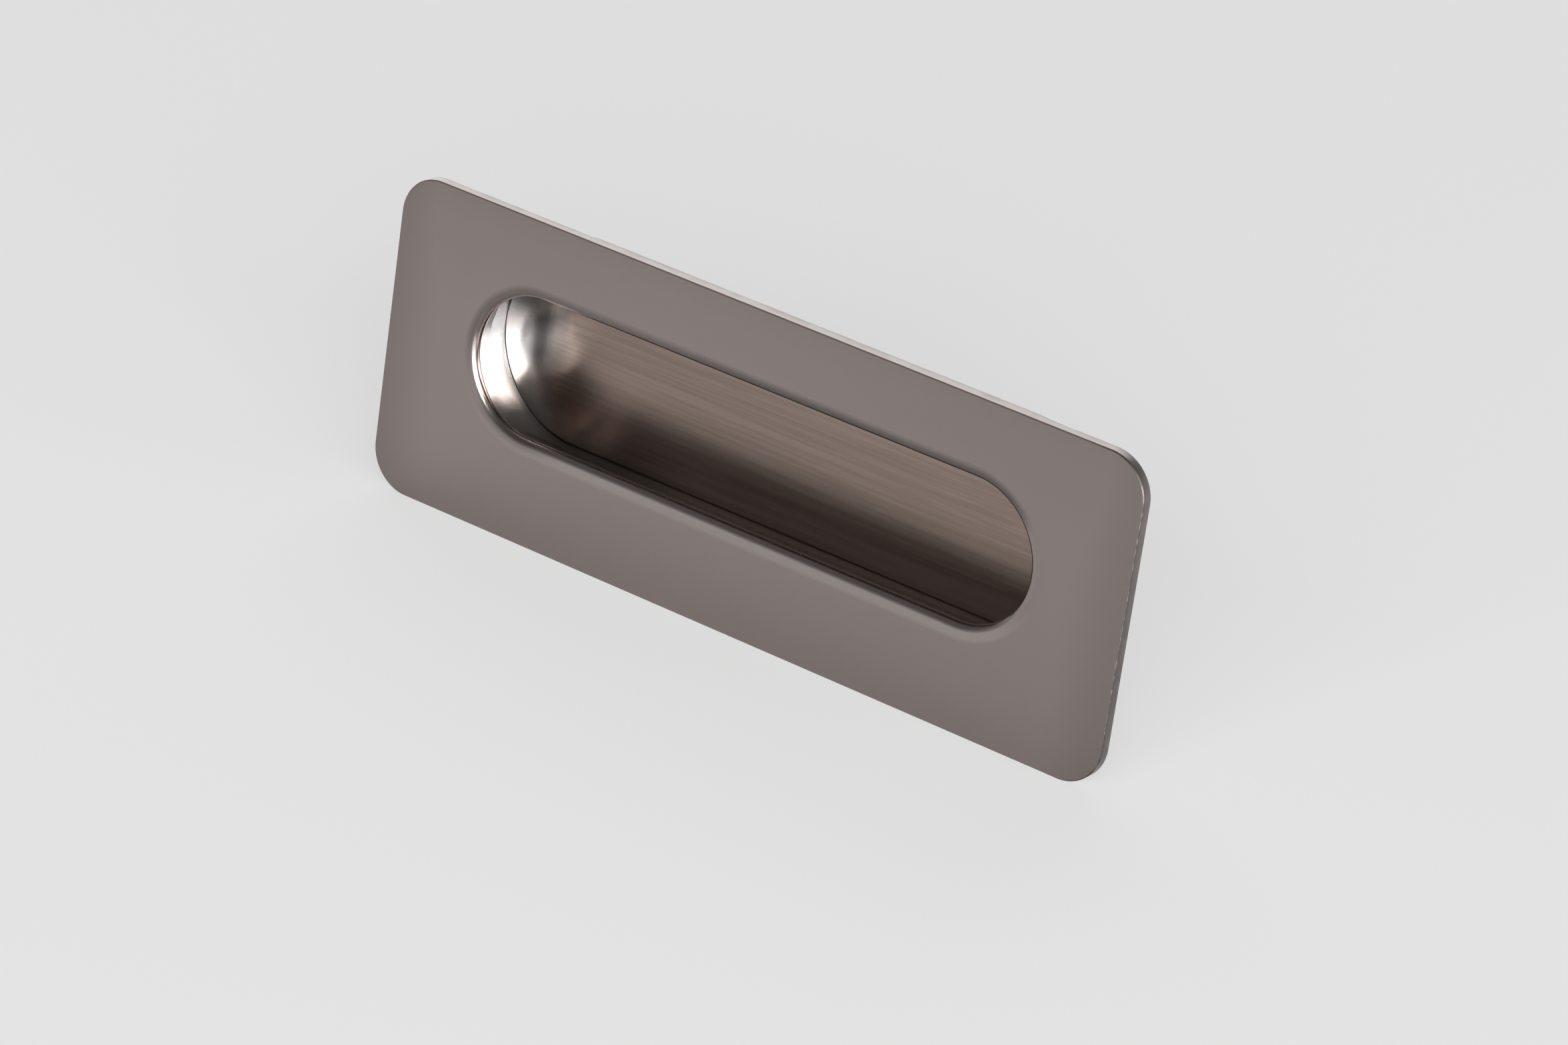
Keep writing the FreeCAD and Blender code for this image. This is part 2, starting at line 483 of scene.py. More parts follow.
def layers(g, where, along, up):
    """How much of each layer there is, and its colour, from the lowest layer up."""
    down = 0 - up
    # painted shade on the right end's edge, where it wears, broken up by noise
    broken_up = noise(g, where, 700.0, detail=3.0, roughness=0.6).between(0.45, 0.62)
    dimmed_edge = label(g, "wear") * (edge_dimming_most - broken_up_less * broken_up) * along.between(*dimmed_edge_zone)
    # how strong the painted sheen is, more towards the right
    wheel = sheen_least + sheen_more * along.between(*sheen_right_zone)
    buffed = label(g, "buffed") * down.between(*sheen_down_zone) * wheel
    right = along.between(*right_zone)
    upper_lip = up.between(*left_lip_zone) * (1 - right) + up.between(*right_lip_zone) * right
    lower_lip = down.between(*lower_lip_zone) * (1 - along.between(*left_end_zone))
    lip_shade_mask = upper_lip * (upper_lip_shade + right_lip_shade * right) + lower_lip_shade * lower_lip
    tarnish = label(g, "tarnish") * lip_shade_mask
    # painted shade at the foot of the lower wall
    soil = wall_foot_shade * label(g, "soil") * down.between(*low_wall_zone)
    blotches = noise(g, where, 350.0, detail=4.0, roughness=0.6).between(0.3, 0.7)
    rough_cast = blend_colour(g, blotches, dark_cast_colour, cast_colour)
    return [(dimmed_edge, dimmed_edge_colour), (buffed, lip_sheen_colour), (tarnish, painted_shade_colour),
            (soil, dirt_and_shade_colour), (label(g, "cast"), rough_cast)]


# %% Marks of the mould's pins
pin_spacing = 36.0
pin_rows = ((-20.4, 2.3), (16.5, 1.5))


def window(value, rise, fall):
    """A mask that rises over the first pair of places and falls again over the second."""
    return value.between(*rise) * (1 - value.between(*fall))


def pin_marks(g, along, up):
    """Round marks on the plate's back, in two rows, each with its height and its marks' radius."""
    x = along - plate_length / 2
    past_pin = x - (x / pin_spacing).maths("ROUND") * pin_spacing
    marks = 0.0
    for row, radius in pin_rows:
        above_row = up - row
        far = (past_pin * past_pin + above_row * above_row).maths("SQRT") / radius
        marks = marks + window(far, (0.93, 0.99), (1.01, 1.07))
    return marks


# %% Stretched patterns and bumps
def stretched(g, where, scale):
    return g.node("ShaderNodeMapping", {"vector_type": "POINT"}, {"Vector": where, "Scale": scale})


def bumped(g, height, strength, distance):
    return g.node("ShaderNodeBump", None,
                  {"Strength": strength, "Distance": distance * mm, "Height": height})


# %% Plated casting
upper_lip_polish_cut = 0.8        # how far the upper lip's polish is cut: this roughens it and, as painted shade, darkens it
satin_roughness = 0.38
polish_smooths = 0.25
cast_roughens = 0.10
wear_roughens = 0.08
cloud_roughens = 0.05
low_wall_roughens = 0.04
grain_height = 0.15
wheel_line_height = 0.006


def plated_casting():
    made, g = material("plated_casting")
    where, along, _, up = ruler(g)
    cast = label(g, "cast")
    polish = label(g, "polish") * (1 - upper_lip_polish_cut * up.between(*right_lip_zone))
    colour = plating(g, along, up, polish)
    for amount, over in layers(g, where, along, up):
        colour = blend_colour(g, amount, colour, over)

    cloud = noise(g, where, 60.0, detail=3.0) - 0.5
    low_wall = (0 - up).between(*low_wall_zone) * polish
    rough = (satin_roughness - polish_smooths * polish + cast_roughens * cast
             + wear_roughens * label(g, "wear") + cloud_roughens * cloud + low_wall_roughens * low_wall)

    grain = noise(g, where, 5000.0)
    wheel_lines = noise(g, stretched(g, where, (60.0, 3500.0, 60.0)), 1.0)
    pits = noise(g, where, 1600.0, detail=3.0, roughness=0.55)
    height = (grain_height * grain * (1 - polish) + wheel_line_height * wheel_lines * polish
              + (pits + pin_marks(g, along, up)) * cast)
    shader = g.node("ShaderNodeBsdfPrincipled", None, {
        "Base Color": colour, "Metallic": 1.0, "Roughness": rough,
        "Normal": bumped(g, height, strength=0.5, distance=0.03),
    })
    return finish_material(made, g, shader)


casting_finish = plated_casting()

# %% [markdown]
# The brushed sheet
#
# The floor was brushed along its length before it was cut. Thousands of fine parallel scratches
# throw a light across them and not along, which the Anisotropic socket does without a single scratch
# being modelled. Noise that is stretched along the sheet makes the scratches that can be seen. The
# front is soiled along the wall, has painted shade low on it and at its left end, is greyer at its
# left end, and is painted lighter towards its right. The back is plain grey metal.

# %% Colours and places on the sheet
sheet_light = (0.357, 0.280, 0.241, 1.0)
sheet_dark = (0.263, 0.206, 0.176, 1.0)
grey_end_colour = (0.335, 0.320, 0.312, 1.0)
sheet_back_colour = (0.300, 0.285, 0.278, 1.0)

# Painted light: the sheet is lighter towards its right.
painted_light_zone = (15.0, plate_length - 15)
grey_end_zone = (18.0, 23.0)
grey_amount = 0.8
below_front = (floor_y + 0.1, floor_y + 0.3)
print("sheet from %.1f to %.1f mm deep" % (floor_y - face_y, sheet_back_y - face_y))

# %% Painted shade on the sheet
long_shade_along = ((23.0, 29.0), (32.0, 48.0))
long_shade_down = (3.5, 8.5)
spot_along = ((18.0, 23.0), (28.0, 32.0))
spot_down = (7.5, 11.0)
dark_end_along = (16.0, 20.0)
dark_end_up = (0.5, 4.0)
band_along = ((14.5, 17.0), (17.5, 20.0))
band_down = (2.0, 7.0)
band_share = 0.9
long_shade_amount = 0.45
end_amount = 0.75


def painted_sheet_shade(along, up):
    """Painted shade: a long patch and a spot below it, low on the sheet, and a dark end with a band
    beside it.
    """
    down = 0 - up
    long_shade = window(along, *long_shade_along) * down.between(*long_shade_down)
    spot = window(along, *spot_along) * down.between(*spot_down)
    dark_end = (1 - along.between(*dark_end_along)) * up.between(*dark_end_up)
    band = band_share * window(along, *band_along) * (1 - down.between(*band_down))
    return long_shade_amount * long_shade.maths("MAXIMUM", spot) + end_amount * dark_end.maths("MAXIMUM", band)


# %% Brushed sheet
fine_share = 0.9
streak_share = 0.72
wall_dirt = 0.55
speck_dirt = 0.2
sheet_roughness = 0.175
streaks_roughen = 0.02
dirt_and_shade_roughen = 0.2


def brushed_sheet():
    made, g = material("brushed_sheet")
    where, along, deep, up = ruler(g)
    fine = noise(g, stretched(g, where, (45.0, 45.0, 2300.0)), 1.0, detail=3.0, roughness=0.6)
    broad = noise(g, stretched(g, where, (12.0, 12.0, 700.0)), 1.0)
    streaks = (fine_share * fine + (1 - fine_share) * broad).between(0.34, 0.66)
    # the streaks, and painted light that rises towards the right
    light = streak_share * streaks + (1 - streak_share) * along.between(*painted_light_zone)
    front = 1 - deep.between(*below_front)
    grey_end = (1 - along.between(*grey_end_zone)) * front

    soil = label(g, "soil")
    specks = noise(g, where, 1100.0).between(0.66, 0.74)
    dirt_and_shade = wall_dirt * soil.between(0.55, 1.0) + speck_dirt * soil * specks
    # painted shade joins the dirt on the front
    dirt_and_shade = dirt_and_shade + painted_sheet_shade(along, up) * front
    colour = blend_colour(g, light, sheet_dark, sheet_light)
    colour = blend_colour(g, grey_amount * grey_end, colour, grey_end_colour)
    colour = blend_colour(g, grey_amount * (1 - front), colour, sheet_back_colour)
    colour = blend_colour(g, dirt_and_shade.maths("MINIMUM", 1.0), colour, dirt_and_shade_colour)
    rough = sheet_roughness + streaks_roughen * (fine - 0.5) + dirt_and_shade_roughen * dirt_and_shade
    shader = g.node("ShaderNodeBsdfPrincipled", None, {
        "Base Color": colour, "Metallic": 1.0, "Roughness": rough, "Anisotropic": 1.0,
        "Anisotropic Rotation": 0.25, "Normal": bumped(g, fine, strength=0.05, distance=0.02),
    })
    return finish_material(made, g, shader)


sheet_finish = brushed_sheet()

# %% [markdown]
# The casting
#
# Walk once round the section and the whole shape is there: over the face's rolled rim, down the side,
# back across the plate, up the outside of the pocket, round its rim, down into the rebate, and up the
# flared wall to the lip. The polishing wheel rolls the face over gently before each tight round, and
# that gentle roll is what makes an edge look finished by hand. A bevel could make the tight round,
# but not the roll, and the labels would be lost on its new faces.

# %% Stations along an arc
def bend(centre, radius, start, stop, steps, **about):
    """Stations along an arc; angles in degrees from outwards (0) to +Y (90)."""
    made = []
    for step in range(steps + 1):
        angle = math.radians(start + (stop - start) * step / steps)
        out = centre[0] + radius * math.cos(angle)
        deep = centre[1] + radius * math.sin(angle)
        made.append({"out": out, "deep": deep, **about})
    return made


# %% Gentle roll and tight round
roll_steps = 10
round_steps = 18
support = 0.25      # a last ring this far beyond a round keeps the flat face's shading flat


def round_centre(roll, edge_round):
    """Where a tight round turns: how far out from the edge, and how deep. Also the face's lean there."""
    width, drop = roll
    lean = 2 * math.atan(drop / width)
    return -edge_round, face_y + drop + edge_round * math.cos(lean), lean


def polished_edge(roll, edge_round, turn):
    """Stations of the gentle roll, and of the tight round that has turned so many degrees at its end."""
    out, deep, lean = round_centre(roll, edge_round)
    width = roll[0]
    roll_radius = width / math.sin(lean)
    start = out + edge_round * math.sin(lean) - width
    slope = math.degrees(lean)
    gentle = bend((start, face_y + roll_radius), roll_radius, -90, slope - 90, roll_steps)
    tight = bend((out, deep), edge_round, slope - 90, turn - 90, round_steps)
    return gentle, tight[1:]


# %% The plate's rim and back
plate_roll = (3.5, 0.11)
plate_round = 0.22
plate_back_round = 0.2
back_round_steps = 5


def plate_border():
    """The face's rolled rim and the plate's side, worn most in the middle of the tight round."""
    gentle, tight = polished_edge(plate_roll, plate_round, 90)
    for number, station in enumerate(tight):
        station["wear"] = math.sin(math.pi * (number + 1) / len(tight))
    border = [{"out": gentle[0]["out"] - support, "deep": face_y}, *gentle, *tight]
    return [{**s, "out": s["out"] + plate_corner, "outline": plate_outline} for s in border]


def plate_back():
    about = {"outline": plate_outline, "cast": 1.0}
    turned_at = plate_corner - plate_back_round
    back = bend((turned_at, -plate_back_round), plate_back_round, 0, 90, back_round_steps, **about)
    return [*back, {"out": turned_at - support, "deep": 0.0, **about}]


# %% The outside of the pocket, its rim and the rebate
crevice = 0.11
rim_wall = 1.2
rim_break = 0.3
rim_draft = math.radians(1.5)
rim_root = 0.8
rim_root_steps = 8


def rim_outside(deep):
    return seat_radius + rim_wall + (rim_back_y - deep) * math.tan(rim_draft)


def pocket_outside():
    about = {"outline": pocket_outline, "cast": 1.0}
    root = rim_outside(0) + rim_root * math.tan(math.pi / 4 - rim_draft / 2)
    stop = 180 + math.degrees(rim_draft)
    fillet = bend((root, rim_root), rim_root, 270, stop, rim_root_steps, **about)
    places = [(rim_outside(rim_back_y - rim_break), rim_back_y - rim_break),
              (rim_outside(rim_back_y) - rim_break, rim_back_y),
              (seat_radius, rim_back_y), (seat_radius, floor_y), (floor_radius + crevice, floor_y)]
    rim = [{"out": out, "deep": deep, **about} for out, deep in places]
    return [{"out": root + support, "deep": 0.0, **about}, *fillet, *rim]


# %% The flared wall
lip_roll = (1.5, 0.07)
lip_round = 1.0
foot_flare = math.radians(8)
foot_share = 0.8
wall_steps = 16
shaded_wall_steps = 5


def flared_wall():
    """The wall's stations from the floor up, and how far it flares where it meets the lip's round.

    A wide arc starts at the floor with the foot's flare, and a straight flank touches that arc and
    the lip's round. The arc's radius is a share of the widest one that still leaves a flank.
    """
    out, deep, _ = round_centre(lip_roll, lip_round)
    lip_centre = Vector((mouth_radius - out, deep))
    foot = Vector((floor_radius, floor_y))
    inwards = Vector((-math.cos(foot_flare), math.sin(foot_flare)))
    across = foot - lip_centre
    widest = (across.length_squared - lip_round ** 2) / 2 / (lip_round - across.dot(inwards))
    foot_radius = foot_share * widest
    foot_centre = foot + inwards * foot_radius
    reach = foot_centre - lip_centre
    lean = math.atan2(reach.x, reach.y)
    flare = math.degrees(lean + math.asin((lip_round + foot_radius) / reach.length))
    lowest = math.degrees(math.asin(math.sin(foot_flare) + crevice / foot_radius))
    about = {"outline": pocket_outline, "polish": 1.0}
    wall = bend(foot_centre, foot_radius, -lowest, -flare, wall_steps, **about)
    # The wall's foot is labelled for painted shade; the same label marks dirt on the sheet.
    for number, station in enumerate(wall):
        station["soil"] = max(0.0, 1 - number / shaded_wall_steps)
    print("wall flares by %.1f degrees" % flare)
    return wall, flare


# %% The lip
edge_polish = 0.5           # what is left of the polish where the tight round ends
# The lip's shade label puts painted shade over its round and the inner part of its roll.
lip_shade_start = 0.35
lip_shade_growth = 2.6
lip_shaded_share = 0.6       # of the gentle roll, from its inner end
sheen_share = 0.6          # of the roll carries the painted sheen in full, and beyond it less and less


def climbing(stations):
    """An edge's stations from its deep end up, round the pocket, and how far up each is, 0 to 1."""
    inside = [{"out": mouth_radius - s["out"], "deep": s["deep"], "outline": pocket_outline}
              for s in reversed(stations)]
    return [(station, number / (len(inside) - 1)) for number, station in enumerate(inside)]


def lip(flare):
    """The lip's tight round and its gentle roll: polished below, with painted shade over the top."""
    gentle, tight = polished_edge(lip_roll, lip_round, 90 + flare)
    inner, outer = climbing(tight), climbing(gentle)
    for station, rise in inner:
        station["polish"] = 1 - (1 - edge_polish) * rise
        station["tarnish"] = min(1.0, lip_shade_start + lip_shade_growth * rise)
    for station, rise in outer:
        station["polish"] = edge_polish * (1 - rise) ** 2
        station["tarnish"] = max(0.0, 1 - rise / lip_shaded_share)
        station["buffed"] = min(1.0, (1 - rise) / (1 - sheen_share))
    stations = [station for station, _ in inner + outer]
    last = {"out": stations[-1]["out"] + support, "deep": face_y, "outline": pocket_outline}
    return [*stations, last]


# %% Casting
casting_corner_steps = 48


def casting_section():
    border = plate_border()
    wall, flare = flared_wall()
    return [*border, *plate_back(), *pocket_outside(), *wall, *lip(flare), border[0]]


section = strip("casting_section", casting_section())
settings = ring_settings(section, casting_finish, casting_corner_steps)
casting = grown("casting", rings, ring_ids, settings)
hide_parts("body")
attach(casting, "root")

# %% [markdown]
# The floor sheet
#
# The floor is a plain sheet with round ends. An extruded curve could make it, but the tree is there
# already: its section starts on the pocket's middle line, runs out to the edge and comes back on the
# other side. The front's soil label rises towards the wall, where dirt gathers.

# %% Floor sheet
sheet_break = 0.12
sheet_support = 0.3
sheet_corner_steps = 32
soiled_band = ((0.9, 0.0), (0.3, 0.5), (0.0, 1.0))      # how far from the wall, and how soiled


def sheet_section():
    edge = seat_radius - sheet_clearance
    flat_edge = edge - sheet_break
    front = [(0.0, 0.0), *((floor_radius - gap, soil) for gap, soil in soiled_band), (flat_edge, 1.0)]
    behind = [(edge, floor_y + sheet_break), (edge, sheet_back_y - sheet_break),
              (flat_edge, sheet_back_y), (flat_edge - sheet_support, sheet_back_y), (0.0, sheet_back_y)]
    stations = [{"out": out, "deep": floor_y, "soil": soil} for out, soil in front]
    stations += [{"out": out, "deep": deep} for out, deep in behind]
    return [{**station, "outline": pocket_outline} for station in stations]


section = strip("sheet_section", sheet_section())
settings = ring_settings(section, sheet_finish, sheet_corner_steps)
floor_sheet = grown("floor_sheet", rings, ring_ids, settings)
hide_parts("floor_plate")
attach(floor_sheet, "root")

# %% [markdown]
# The screw bosses
#
# Two screws come through the door and pull the plate against it. Their bosses are turned shapes, so a
# section goes round an axis. Inside runs a real M4 thread: a groove that winds once round for each
# pitch, so its depth at a point depends on how deep the point lies less how far round it is.

# %% The tree that turns a section round an axis, and cuts a thread
thread_flank = (0.12, 0.88)


def turned_tree():
    g, ids, given = new_tree("turned_bosses", {
        "Section": "Object", "Stations": "Int", "Steps": "Int", "Pitch": "Float", "Groove": "Float",
        "Half spacing": "Float", "Material": "Material",
    })
    stations = Stations(g, given, given["Steps"] + 1)
    round_part = stations.column / given["Steps"]
    turn = round_part * math.tau
    out = stations.place()
    deep = out.other("Y")
    wave = (deep / given["Pitch"] - round_part).maths("PINGPONG", 0.5) * 2
    out = out + wave.between(*thread_flank) * stations.label("thread") * given["Groove"]
    one = stations.shaped(turn.maths("COSINE") * out, deep, turn.maths("SINE") * out)
    start = g.node("ShaderNodeCombineXYZ", None, {"X": 0 - given["Half spacing"]})
    along = g.node("ShaderNodeCombineXYZ", None, {"X": given["Half spacing"] * 2})
    places = g.node("GeometryNodeMeshLine", {"mode": "OFFSET"},
                    {"Count": 2, "Start Location": start, "Offset": along})
    both = g.node("GeometryNodeInstanceOnPoints", None, {"Points": places, "Instance": one})
    finish_tree(g, both, given["Material"])
    return g.tree, ids


turned, turned_ids = turned_tree()

# %% Sizes of the bosses
boss_inset = 7.5
boss_x = plate_length / 2 - boss_inset
boss_radius = 3.0
boss_height = 6.5
boss_root = 0.6
boss_root_steps = 7
boss_break = 0.3
boss_steps = 40
tap_radius = 1.65
tap_depth = 5.0
tap_break = 0.35
drill_point = math.radians(118 / 2)
thread_pitch = 0.7
thread_groove = 0.33
thread_runout = 1.0
rows_per_pitch = 14
tool_polish = 0.7       # what a tap leaves in its hole, and a punch in its dent
print("bosses %.1f mm apart, %.1f mm high" % (2 * boss_x, boss_height))


# %% Screw bosses
def boss_outside():
    """From the axis, inside the plate, out to the root's fillet, up the boss and over its top."""
    about = {"cast": 1.0}
    root = boss_radius + boss_root
    fillet = bend((root, boss_root), boss_root, 270, 180, boss_root_steps, **about)
    foot = [{"out": out, "deep": face_y / 2, **about} for out in (0.0, root)]
    places = [(boss_radius, boss_height - boss_break), (boss_radius - boss_break, boss_height),
              (tap_radius + tap_break, boss_height)]
    return [*foot, *fillet, *({"out": out, "deep": deep, **about} for out, deep in places)]


def threaded_hole():
    """From the broken edge down the thread, whose depth fades at both ends, to the drill's point."""
    about = {"polish": tool_polish}
    top = boss_height - tap_break
    bottom = boss_height - tap_depth
    stations = [{"out": tap_radius, "deep": top, **about}]
    length = top - bottom - thread_runout
    rows = round(length / thread_pitch * rows_per_pitch)
    for row in range(1, rows + 1):
        ends = min(row, rows - row) / (rows_per_pitch / 2)
        deep = top - length * row / rows
        stations.append({"out": tap_radius, "deep": deep, "thread": min(1.0, ends), **about})
    point = bottom - tap_radius / math.tan(drill_point)
    return [*stations, {"out": tap_radius, "deep": bottom, **about}, {"out": 0.0, "deep": point, **about}]


section = strip("boss_section", [*boss_outside(), *threaded_hole()])
screw_bosses = grown("screw_bosses", turned, turned_ids, {
    "Section": section, "Stations": len(section.data.vertices), "Steps": boss_steps,
    "Pitch": thread_pitch * mm, "Groove": thread_groove * mm, "Half spacing": boss_x * mm,
    "Material": casting_finish,
})
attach(screw_bosses, "root")

# %% [markdown]
# The peened tabs
#
# Behind, six tabs of the rim are beaten down over the sheet: one at each end and two along each side.
# Each is a small block with worn edges and the dent of the punch. Six blocks could be modelled one by
# one, but they would be alike. The tree makes one block and sets it on six points, which also say how
# far each tab is turned.

# %% Sizes of the tabs
tab_width = 5.0
tab_reach = 0.8
tab_spacing = 44.0
tab_bite = 0.03         # how far a tab is pressed into the sheet
tab_below_rim = 0.07
tab_edge_round = 0.14
tab_dent = 0.16
dents_in_tab = (1.8, 2.2)       # how many dents would lie side by side along a tab, and across it
tab_depth = tab_reach + rim_wall / 2
tab_low_y = sheet_back_y - tab_bite
tab_high_y = rim_back_y - tab_below_rim
tab_half = Vector((tab_width, tab_high_y - tab_low_y, tab_depth)) / 2
print("tab %.2f x %.2f x %.2f mm" % tuple(2 * tab_half))


# %% A block with worn edges
block_points = {"Vertices X": 24, "Vertices Y": 6, "Vertices Z": 12}


def vector(g, operation, *values):
    return g.node("ShaderNodeVectorMath", {"operation": operation}, dict(enumerate(values)))


def worn_block(g, given, place):
    """A block, and where its points go so that its edges are round: inner box plus a short reach."""
    half = given["Half size"]
    size = vector(g, "ADD", half, half)
    block = g.node("GeometryNodeMeshCube", None, {"Size": size, **block_points})
    edge = g.node("ShaderNodeCombineXYZ", None, dict.fromkeys("XYZ", given["Edge round"]))
    inner = vector(g, "SUBTRACT", half, edge)
    minus_inner = vector(g, "SUBTRACT", (0.0, 0.0, 0.0), inner)
    kept = vector(g, "MAXIMUM", vector(g, "MINIMUM", place, inner), minus_inner)
    away = vector(g, "NORMALIZE", vector(g, "SUBTRACT", place, kept))
    return block, vector(g, "ADD", kept, vector(g, "MULTIPLY", away, edge))


# %% The tree that sets a dented block on points
def tab_tree():
    g, ids, given = new_tree("peened_tabs", {
        "Places": "Object", "Half size": "Vector", "Edge round": "Float", "Dent": "Float",
        "Material": "Material",
    })
    place = g.node("GeometryNodeInputPosition")
    block, rounded = worn_block(g, given, place)
    x = g.node("ShaderNodeSeparateXYZ", None, {0: place})
    half_x = g.node("ShaderNodeSeparateXYZ", None, {0: given["Half size"]})
    far_x = x / half_x * dents_in_tab[0]
    far_z = x.other("Z") / half_x.other("Z") * dents_in_tab[1]
    far = far_x.maths("POWER", 2) + far_z.maths("POWER", 2)
    hit = (1 - far.between(0.0, 1.0)) * x.other("Y").maths("GREATER_THAN", 0.0)
    down = g.node("ShaderNodeCombineXYZ", None, {"Y": 0 - hit * given["Dent"]})
    block = g.node("GeometryNodeSetPosition", None,
                   {"Geometry": block, "Position": vector(g, "ADD", rounded, down)})
    block = store_label(g, block, "polish", tool_polish * hit)
    block = store_label(g, block, "cast", 1 - hit)
    turn = g.node("ShaderNodeCombineXYZ", None, {"Y": stored_label(g, "turn")})
    tabs = g.node("GeometryNodeInstanceOnPoints", None,
                  {"Points": points_of(g, given["Places"]), "Instance": block, "Rotation": turn})
    finish_tree(g, tabs, given["Material"])
    return g.tree, ids


tabs, tab_ids = tab_tree()


# %% Peened tabs
def tab_places():
    """Four places along the two sides and one at each end, where the tab is turned a quarter."""
    deep = (tab_low_y + tab_high_y) / 2
    middle = seat_radius - tab_reach + tab_depth / 2
    sides = [(x, deep, side * middle) for side in (-1, 1) for x in (-tab_spacing / 2, tab_spacing / 2)]
    ends = [(side * (end_centre_x + middle), deep, 0.0) for side in (-1, 1)]
    turns = [0.0] * len(sides) + [math.pi / 2] * len(ends)
    return loose_points("tab_places", [Vector(place) * mm for place in sides + ends], {"turn": turns})


peened_tabs = grown("peened_tabs", tabs, tab_ids, {
    "Places": tab_places(), "Half size": tab_half * mm, "Edge round": tab_edge_round * mm,
    "Dent": tab_dent * mm, "Material": casting_finish,
})
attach(peened_tabs, "root")

# %% [markdown]
# The floor that it stands on
#
# A pale, plain surface. To the camera it is matt paper: part of its light is its own, so that the
# background stays even, and the rest comes from the lamps, so that the pull still throws a soft
# shadow on it. To the metal it is a smooth table, which mirrors the lamps at a low angle as real
# tables do, and it carries painted shade: dark just behind the plate, and a little darker close round it.

# %% Studio floor
floor_half = 8.0        # in metres, so that the floor reaches past the camera
floor_grey = 0.59
# the grey of the painted shade on the floor, which the camera doesn't see
floor_shade_grey = 0.30
behind_zone = (-10.0, 10.0)
floor_shade_edge_zone = (40.0, 160.0)
contact_zone = (0.0, 22.0)
contact_shade = 0.4
table_roughness = 0.10
table_ior = 2.0
paper_grey = 0.18
paper_glow = 0.483


def grey(level):
    return level, level, level, 1.0


def matt(g, level):
    return g.node("ShaderNodeBsdfDiffuse", None, {"Color": grey(level)})


def mixed(g, amount, first, second):
    return g.node("ShaderNodeMixShader", None, {0: amount, 1: first, 2: second})


def painted_floor_shade(along, deep):
    """A mask of painted shade on the floor: full just behind the plate, and faint close round it."""
    off_middle = (along - plate_length / 2).maths("ABSOLUTE")
    beside = (off_middle - plate_length / 2).maths("MAXIMUM", 0.0)
    away = (beside * beside + deep * deep).maths("SQRT")
    behind_shade = deep.between(*behind_zone) * (1 - away.between(*floor_shade_edge_zone))
    return behind_shade.maths("MAXIMUM", contact_shade * (1 - away.between(*contact_zone)))


def studio_floor():
    made, g = material("studio_floor")
    _, along, deep, _ = ruler(g)
    table = mixed(g, painted_floor_shade(along, deep), matt(g, floor_grey), matt(g, floor_shade_grey))
    sheen = g.node("ShaderNodeBsdfGlossy", None, {"Color": grey(1.0), "Roughness": table_roughness})
    table = mixed(g, g.node("ShaderNodeFresnel", None, {"IOR": table_ior}), table, sheen)
    glow = g.node("ShaderNodeEmission", None, {"Color": grey(1.0), "Strength": paper_glow})
    paper = g.node("ShaderNodeAddShader", None, {0: matt(g, paper_grey), 1: glow})
    seen = g.node("ShaderNodeLightPath", None, None, "Is Camera Ray")
    return finish_material(made, g, mixed(g, seen, table, paper))


def flat_square(name, half, height, finish):
    mesh = bpy.data.meshes.new(name)
    corners = [(-half, -half, height), (half, -half, height), (half, half, height), (-half, half, height)]
    mesh.from_pydata(corners, [], [(0, 1, 2, 3)])
    mesh.materials.append(finish)
    return put_in_scene(name, mesh)


floor = flat_square("studio_floor", floor_half, body_low.z * mm, studio_floor())

# %% Studio world
backdrop_level = 0.73
horizon_level = 0.4
top_level = 0.15
room_zone = (0.0, 0.5)      # as the upward part of a direction, with 1 straight up


def studio_world():
    """A plain backdrop to the camera. To the metal, a room that is darker higher up."""
    world = bpy.data.worlds.new("studio")
    world.use_nodes = True
    bpy.context.scene.world = world
    g = Graph(world.node_tree)
    direction = g.node("ShaderNodeTexCoord", None, None, "Generated")
    height = g.node("ShaderNodeSeparateXYZ", None, {0: direction}, "Z")
    level = horizon_level - (horizon_level - top_level) * height.between(*room_zone)
    seen = g.node("ShaderNodeLightPath", None, None, "Is Camera Ray")
    strength = level * (1 - seen) + seen * backdrop_level
    shine = g.node("ShaderNodeBackground", None, {"Color": grey(1.0), "Strength": strength})
    g.node("ShaderNodeOutputWorld", None, {"Surface": shine})
    print(world.name, "has", len(g.tree.nodes), "nodes")


studio_world()

# %% [markdown]
# Lamps
#
# Metal shows its surroundings more than its own colour, so each lamp is placed by what it should be
# seen in. The key lamp lights the floor, and metal shows no glare of it. The wing lamp, to the right
# of the camera, shines into the left end of the pocket. The side lamp lights the plate's right end,
# and the back lamp its top edge. One lamp could light everything, but then only the few surfaces that
# happen to mirror that lamp would shine.

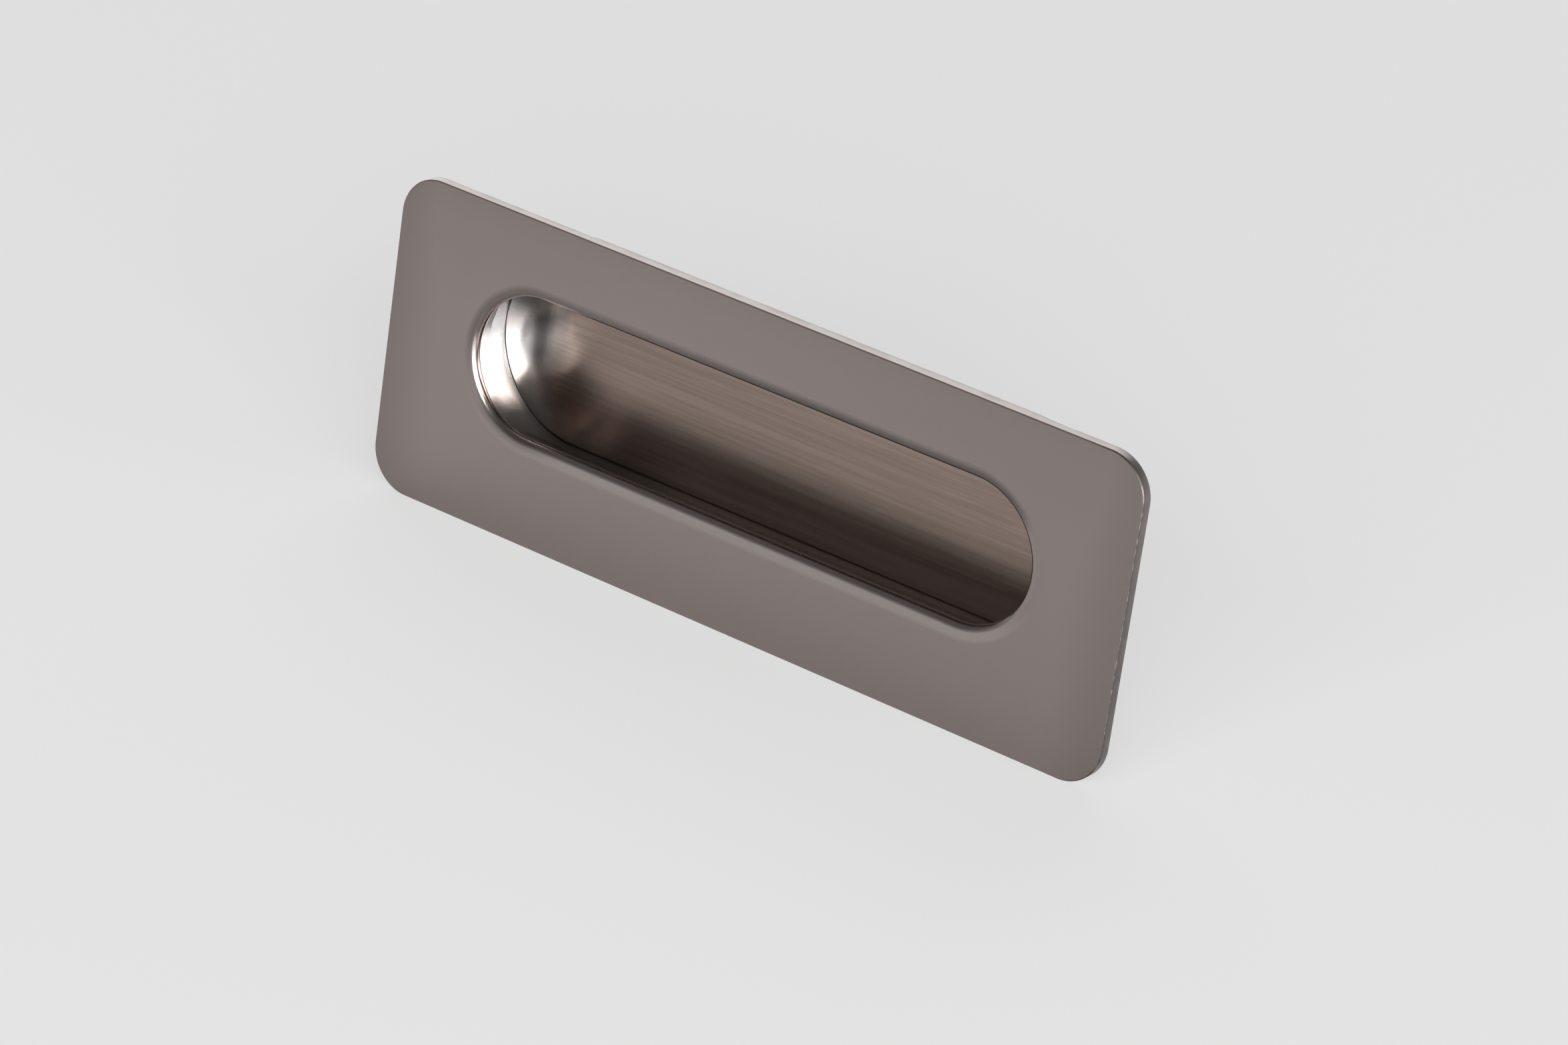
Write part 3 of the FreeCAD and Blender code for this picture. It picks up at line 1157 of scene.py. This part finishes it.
# %% Softboxes
def softbox(name, azimuth, elevation, distance, size, level):
    """A square lamp that faces the pull, by degrees round from +X and degrees up.

    Its level is how bright it looks, with 1 as white.
    """
    lamp = bpy.data.lights.new(name, "AREA")
    lamp.shape = "RECTANGLE"
    lamp.size, lamp.size_y = size
    lamp.energy = level * math.pi * lamp.size * lamp.size_y
    round_z, up = math.radians(azimuth), math.radians(elevation)
    across = math.cos(up)
    away = Vector((across * math.cos(round_z), across * math.sin(round_z), math.sin(up)))
    holder = put_in_scene(name, lamp)
    holder.location = away * distance
    holder.rotation_mode = "QUATERNION"
    holder.rotation_quaternion = away.to_track_quat("Z", "Y")
    print("%s stands at %s" % (name, tuple(round(v, 2) for v in holder.location)))
    return holder


key = softbox("key_lamp", azimuth=-70, elevation=16, distance=2.4, size=(2.10, 1.60), level=12.0)
key.visible_glossy = False
softbox("wing_lamp", azimuth=-43, elevation=12, distance=2.4, size=(2.00, 1.70), level=12.0)
softbox("side_lamp", azimuth=2, elevation=22, distance=2.4, size=(1.68, 2.00), level=2.6)
softbox("back_lamp", azimuth=130, elevation=29, distance=1.4, size=(1.60, 1.55), level=1.9)

# %% [markdown]
# Camera
#
# The camera was fitted to the edges of the pull in the photo: a long lens, above and to the right,
# held a little askew. A long lens keeps the plate's far end nearly as large as its near end.

# %% Camera
camera_place = Vector((420.8, -630.6, 317.6 + plate_middle_z))
camera_aim = Vector((6.47, 0.0, plate_middle_z - 5.065))
camera_roll = math.radians(8.321)
camera_lens = 145.18
film_width = 36.0


def photo_camera():
    data = bpy.data.cameras.new("photo_camera")
    data.sensor_width = film_width
    data.lens = camera_lens
    data.clip_start = 50 * mm
    data.clip_end = 50.0
    holder = put_in_scene("photo_camera", data)
    level = (camera_aim - camera_place).to_track_quat("-Z", "Y")
    holder.rotation_mode = "QUATERNION"
    holder.rotation_quaternion = level @ Quaternion((0, 0, 1), camera_roll)
    holder.location = camera_place * mm
    bpy.context.scene.camera = holder
    print("camera %.2f m from the pull" % holder.location.length)


photo_camera()
bpy.context.scene.view_settings.view_transform = "Standard"
